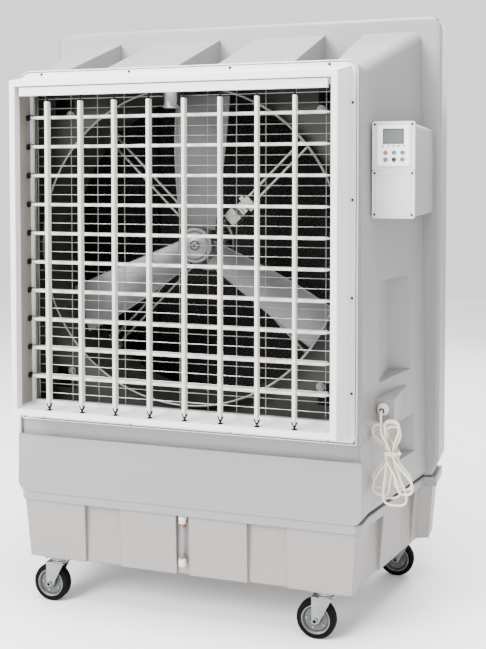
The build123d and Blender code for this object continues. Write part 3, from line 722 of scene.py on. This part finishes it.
def make_ring_lip():
    """Rolled edge of the fan ring, and the bolts in the bulkhead's corners."""
    low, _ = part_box("fan_shroud")
    mid_z = centre("motor").z
    lip = Shape()
    at = Matrix.Translation((0, low.y, mid_z)) @ towards((0, 1, 0))
    rings = []
    for i in range(96):
        angle = 2 * math.pi * i / 96
        ring = []
        for k in range(8):
            turn = 2 * math.pi * k / 8
            r = RING_RADIUS + 0.0035 * math.cos(turn)
            ring.append((r * math.cos(angle), r * math.sin(angle), 0.0015 + 0.0035 * math.sin(turn)))
        rings.append(ring)
    lip.rings(rings, at, closed=True)
    lip.make("ring_lip", "ring")
    bolts = Shape()
    for sx in (-1, 1):
        for sz in (-1, 1):
            spot = Matrix.Translation((sx * BULKHEAD_BOLT, low.y + 0.046, mid_z + sz * BULKHEAD_BOLT))
            bolts.lathe([(0.003, 0), (0.014, 0), (0.014, 0.002), (0.009, 0.002), (0.0085, 0.008),
                         (0.003, 0.009)], spot @ towards((0, -1, 0)), 24)
    bolts.make("bulkhead_bolts", "ring")


# ---------- casters ----------
SWIVEL_OFFSET = 0.029
RIM_BOLTS = 5
RIM_BOLT_CIRCLE = 0.030


def make_casters():
    """Tyre, rim, dish, swivel head and plate bolts of each caster."""
    for corner in CORNERS:
        body = f"caster_wheel_{corner}"
        mid = centre(body)
        at = Matrix.Translation((mid.x, mid.y, mid.z)) @ towards((0, 1, 0))
        tyre = Shape()
        tyre.tube([(0.044, -0.0165), (0.050, -0.0180), (0.057, -0.0175), (0.0608, -0.0150),
                   (0.0622, -0.0105), (0.0625, -0.0030), (0.0612, -0.0022), (0.0612, 0.0022),
                   (0.0625, 0.0030), (0.0622, 0.0105), (0.0608, 0.0150), (0.057, 0.0175),
                   (0.050, 0.0180), (0.044, 0.0165)], at, 72)
        tyre.make(f"tyre_{corner}", "tyre", body, replaces=(body,))
        rim = Shape()
        dish = Shape()
        for side in (-1, 1):
            face = at @ Matrix.Rotation(math.pi if side < 0 else 0, 4, "X")
            rim.tube([(0.0440, 0.0150), (0.0464, 0.0160), (0.0450, 0.0188), (0.0432, 0.0188)], face, 64)
            rim.lathe([(0.0185, 0.0080), (0.0175, 0.0140), (0.0160, 0.0175), (0.0120, 0.0222),
                       (0.0060, 0.0228)], face, 40)
            dish.lathe([(0.0445, 0.0040), (0.0440, 0.0165), (0.0400, 0.0145), (0.0365, 0.0090),
                        (0.0240, 0.0075), (0.0100, 0.0078)], face, 64)
            for i in range(RIM_BOLTS):
                angle = 2 * math.pi * i / RIM_BOLTS
                spot = Matrix.Translation((RIM_BOLT_CIRCLE * math.cos(angle),
                                           RIM_BOLT_CIRCLE * math.sin(angle), 0.0070))
                rim.lathe([(0.001, 0.004), (0.0035, 0.0038), (0.004, 0.003), (0.004, 0)],
                          face @ spot, 12)
        rim.make(f"rim_{corner}", "zinc", body)
        dish.make(f"dish_{corner}", "dish", body)
        swivel_x = mid.x + SWIVEL_OFFSET
        head = Shape()
        spot = Matrix.Translation((swivel_x, mid.y, 0))
        head.lathe([(0.020, 0.1365), (0.0300, 0.1370), (0.0320, 0.1390), (0.0320, 0.1420),
                    (0.0285, 0.1450), (0.0285, 0.1480), (0.0265, 0.1520), (0.012, 0.1535)], spot, 40)
        for side in (-1, 1):
            nut_at = Matrix.Translation((mid.x, mid.y + side * 0.0272, mid.z)) @ towards((0, side, 0))
            head.lathe([(0.004, 0), (0.0105, 0), (0.0105, 0.0014), (0.0080, 0.0014),
                        (0.0080, 0.0048), (0.006, 0.0053)], nut_at, 6)
        head.make(f"swivel_head_{corner}", "zinc", f"caster_fork_{corner}")
        bolts = Shape()
        for dx in (-0.037, 0.037):
            for dy in (-0.025, 0.025):
                spot = Matrix.Translation((swivel_x + dx, mid.y + dy, 0.1540)) @ towards((0, 0, -1))
                bolts.lathe([(0.001, 0.0045), (0.0055, 0.0045), (0.0062, 0.0038), (0.0062, 0)], spot, 6)
        bolts.make(f"caster_bolts_{corner}", "zinc")


# ---------- small trim ----------
LAMPS = 5
LAMP_PITCH = 0.0157
FRAME_SCREW_HEIGHTS = (0.633, 0.953, 1.314, 1.626)
SLAT_ROWS = 25
SLAT_PITCH = 0.060


def screw_spots():
    """Box (low, high) of each separate head in the CAD screws node."""
    mesh = NODES["screws"].data
    seen, groups = set(), []
    links = {i: set() for i in range(len(mesh.vertices))}
    spots = {}
    for v in mesh.vertices:
        spots.setdefault(tuple(round(c, 4) for c in v.co), []).append(v.index)
    for same in spots.values():
        for i in same:
            links[i].update(same)
    for edge in mesh.edges:
        a, b = edge.vertices
        links[a].add(b)
        links[b].add(a)
    for start in links:
        if start in seen:
            continue
        stack, group = [start], []
        seen.add(start)
        while stack:
            i = stack.pop()
            group.append(mesh.vertices[i].co)
            for j in links[i] - seen:
                seen.add(j)
                stack.append(j)
        low = Vector(map(min, *group))
        high = Vector(map(max, *group))
        groups.append((low, high))
    return groups


def make_screws():
    """Domed heads on the CAD screws' places, each with a black cross that is painted shade in its cross
    recess.
    """
    heads, cross_shade = Shape(), Shape()
    for low, high in screw_spots():
        mid = (low + high) / 2
        radius = (high.x - low.x) / 2
        at = Matrix.Translation((mid.x, high.y, mid.z)) @ towards((0, -1, 0))
        deep = high.y - low.y
        heads.lathe([(0.001, 0), (radius, 0), (radius, deep * 0.35), (radius * 0.75, deep * 0.8),
                     (radius * 0.3, deep * 0.96)], at, 20)
        # black cross on each head: painted shade in the cross recess
        for turn in (0.5, 0.5 + math.pi / 2):
            bar = Matrix.Translation((mid.x, low.y - 0.0002, mid.z)) @ Matrix.Rotation(turn, 4, "Y")
            cross_shade.block((0, 0.0006, 0), (radius * 1.1, 0.001, radius * 0.25), bar, 0.0002)
    heads.make("screw_heads", "screw", replaces=("screws",))
    cross_shade.make("screw_cross_shade", "black")


def make_gauge():
    """End fittings, red band and float of the level gauge."""
    low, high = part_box("gauge_fittings")
    tube = centre("gauge_tube")
    fittings = Shape()
    for z, flip in ((low.z, 1), (high.z, -1)):
        at = Matrix.Translation((tube.x, tube.y, z)) @ towards((0, 0, flip))
        fittings.lathe([(0.003, 0), (0.011, 0), (0.013, 0.002), (0.013, 0.012), (0.0115, 0.0135),
                        (0.0115, 0.016), (0.0125, 0.017), (0.0125, 0.022), (0.0105, 0.024),
                        (0.0092, 0.024)], at, 32)
        fittings.block((tube.x, tube.y + 0.010, z + flip * 0.012), (0.010, 0.008, 0.010))
    fittings.make("gauge_elbows", "white", replaces=("gauge_fittings",))
    band = Shape()
    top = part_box("gauge_tube")[1].z
    band.tube([(0.0092, -0.008), (0.0104, -0.008), (0.0104, 0.0), (0.0092, 0.0)],
              Matrix.Translation((tube.x, tube.y, top)), 32)
    band.make("gauge_red_band", "red")
    ball = Shape()
    ball.lathe([(0.002, -0.009), (0.0055, -0.0085), (0.0068, -0.006), (0.0068, 0.002),
                (0.0050, 0.006), (0.003, 0.009)], Matrix.Translation(centre("gauge_float")), 24)
    ball.make("float_body", "red", "gauge_float", replaces=("gauge_float",))


def make_controls():
    """Display rim, lamps, button caps, and a ridge round each cover."""
    mid = centre("lcd_window")
    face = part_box("control_membrane")[0].y
    rim = Shape()
    for dx in (-1, 1):
        rim.block((mid.x + dx * 0.0306, face - 0.0004, mid.z), (0.0022, 0.0022, 0.0455), soft=0.0004)
    for dz in (-1, 1):
        rim.block((mid.x, face - 0.0004, mid.z + dz * 0.0219), (0.0634, 0.0022, 0.0022), soft=0.0004)
    rim.make("lcd_rim", "dark")
    lamps = Shape()
    for i in range(LAMPS):
        x = mid.x + (i - LAMPS // 2) * LAMP_PITCH
        at = Matrix.Translation((x, face, mid.z - 0.0296)) @ towards((0, -1, 0))
        lamps.lathe([(0.0006, -0.001), (0.0024, -0.001), (0.0024, 0.0004), (0.0016, 0.001),
                     (0.0005, 0.0012)], at, 16)
    lamps.make("status_lamps", "dark")
    paints = ("orange", "blue", "blue", "blue", "button_black", "blue")
    for index, paint in enumerate(paints, 1):
        body = f"button_{index}"
        spot = centre(body)
        at = Matrix.Translation((spot.x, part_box(body)[1].y, spot.z)) @ towards((0, -1, 0))
        cap = Shape()
        cap.lathe([(0.002, 0), (0.0066, 0), (0.0066, 0.0040), (0.0062, 0.0050), (0.0052, 0.0057),
                   (0.0044, 0.0056), (0.0034, 0.0050), (0.0012, 0.0047)], at, 32)
        cap.make(f"button_cap_{index}", paint, body, replaces=(body,))
    for node, name in (("control_panel_cover", "upper"), ("control_lower_cover", "lower")):
        c_low, c_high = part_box(node)
        ridge = Shape()
        x0, x1, z0, z1 = c_low.x + 0.012, c_high.x - 0.012, c_low.z + 0.009, c_high.z - 0.009
        y = c_low.y
        corners = [(x0, y, z0), (x1, y, z0), (x1, y, z1), (x0, y, z1)]
        for start, end in zip(corners, corners[1:] + corners[:1]):
            ridge.rod(start, end, 0.0011, 8)
        ridge.make(f"cover_ridge_{name}", "cover")


def make_cover_joint():
    """Soft strip that fills the gap between the two control covers."""
    upper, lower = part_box("control_panel_cover"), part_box("control_lower_cover")
    gap_low, gap_high = lower[1].z - 0.001, upper[0].z + 0.001
    strip = Shape()
    middle = ((upper[0].x + upper[1].x) / 2, upper[0].y + 0.0036, (gap_low + gap_high) / 2)
    strip.block(middle, (upper[1].x - upper[0].x - 0.006, 0.006, gap_high - gap_low), soft=0.0003)
    strip.make("cover_joint", "cover")


def make_frame_screws():
    """Dark screw heads down both sides of the rear frame."""
    low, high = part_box("rear_frame")
    heads = Shape()
    for side in (-1, 1):
        for z in FRAME_SCREW_HEIGHTS:
            spot = Matrix.Translation((side * (high.x - 0.0012), low.y + 0.022, z))
            heads.lathe([(0.0065, 0), (0.0065, 0.0012), (0.0050, 0.0018), (0.0015, 0.0020)],
                        spot @ towards((side, 0, 0)), 20)
    heads.make("frame_screws", "screw")


def make_flange_line():
    """Dark line round the white flange, painted shade in the seam between flange and casing, and a
    folded bead on its edge.
    """
    low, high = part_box("outlet_collar")
    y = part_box("casing")[0].y
    half, z0, z1, corner = high.x - 0.0045, low.z + 0.0045, high.z - 0.0045, 0.031
    quarter = [math.pi / 16 * i for i in range(9)]
    # the dark line is painted shade in the seam round the flange; the bead is real collar plastic
    for name, inset, radius, paint in (("flange_seam_shade", 0.0, 0.0011, "dark"),
                                       ("flange_bead", -0.0028, 0.0020, "collar")):
        h, bottom, top, r = half - inset, z0 + inset, z1 - inset, corner - inset
        line = [(-h, bottom), (h, bottom), (h, top - r)]
        line += [(h - r + r * math.cos(a), top - r + r * math.sin(a)) for a in quarter]
        line += [(-h + r - r * math.sin(a), top - r + r * math.cos(a)) for a in quarter]
        trim = Shape()
        for a, b in zip(line, line[1:] + line[:1]):
            if (Vector(a) - Vector(b)).length > 1e-5:
                trim.rod((a[0], y - 0.0004, a[1]), (b[0], y - 0.0004, b[1]), radius, 8)
        trim.make(name, paint)


def make_mouth_shade_plates():
    """Dark plates on the two side walls of the outlet mouth: painted shade for the shadowed inside of
    the mouth.
    """
    low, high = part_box("wire_guard")
    half, mid = high.x + 0.0018, (low.z + high.z) / 2
    shade_plates = Shape()
    # one thin dark plate of painted shade against each side wall
    for side in (-1, 1):
        shade_plates.block((side * half, -0.358, mid), (0.0012, 0.088, high.z - low.z - 0.004), soft=0.0004)
    shade_plates.make("mouth_painted_shade", "shade_plates")


def make_rear_slats():
    """Slanted slats in both halves of the rear intake."""
    slats = Shape()
    mid = centre("rear_grille")
    for row in range(SLAT_ROWS):
        z = mid.z + (row - SLAT_ROWS // 2) * SLAT_PITCH
        for x in (-0.355, 0.355):
            tilt = Matrix.Translation((x, mid.y, z)) @ Matrix.Rotation(math.radians(35), 4, "X")
            slats.block((0, 0, 0), (0.668, 0.018, 0.0022), tilt, 0.0008)
    slats.make("intake_slats", "body")


def make_can():
    """Bright round body and flange of the swing motor."""
    low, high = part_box("swing_motor")
    mid = (low + high) / 2
    can = Shape()
    can.lathe([(0.004, 0), (0.022, 0), (0.0265, 0.0015), (0.0285, 0.004), (0.0280, 0.006),
               (0.0255, 0.009), (0.0255, 0.044), (0.0270, 0.047), (0.0270, 0.062), (0.010, 0.063)],
               Matrix.Translation((mid.x, mid.y, low.z)), 40)
    can.block((mid.x, mid.y, high.z - 0.0067), (0.070, 0.024, 0.0134))
    can.make("swing_motor_can", "can", replaces=("swing_motor",))


make_camera()
make_cord()
make_studio()
paint_nodes()
make_upright_louvres()
make_level_louvres()
make_wire_guard()
make_fan()
make_motor()
make_ring_lip()
make_casters()
make_screws()
make_gauge()
make_controls()
make_cover_joint()
make_frame_screws()
make_flange_line()
make_mouth_shade_plates()
make_rear_slats()
make_can()
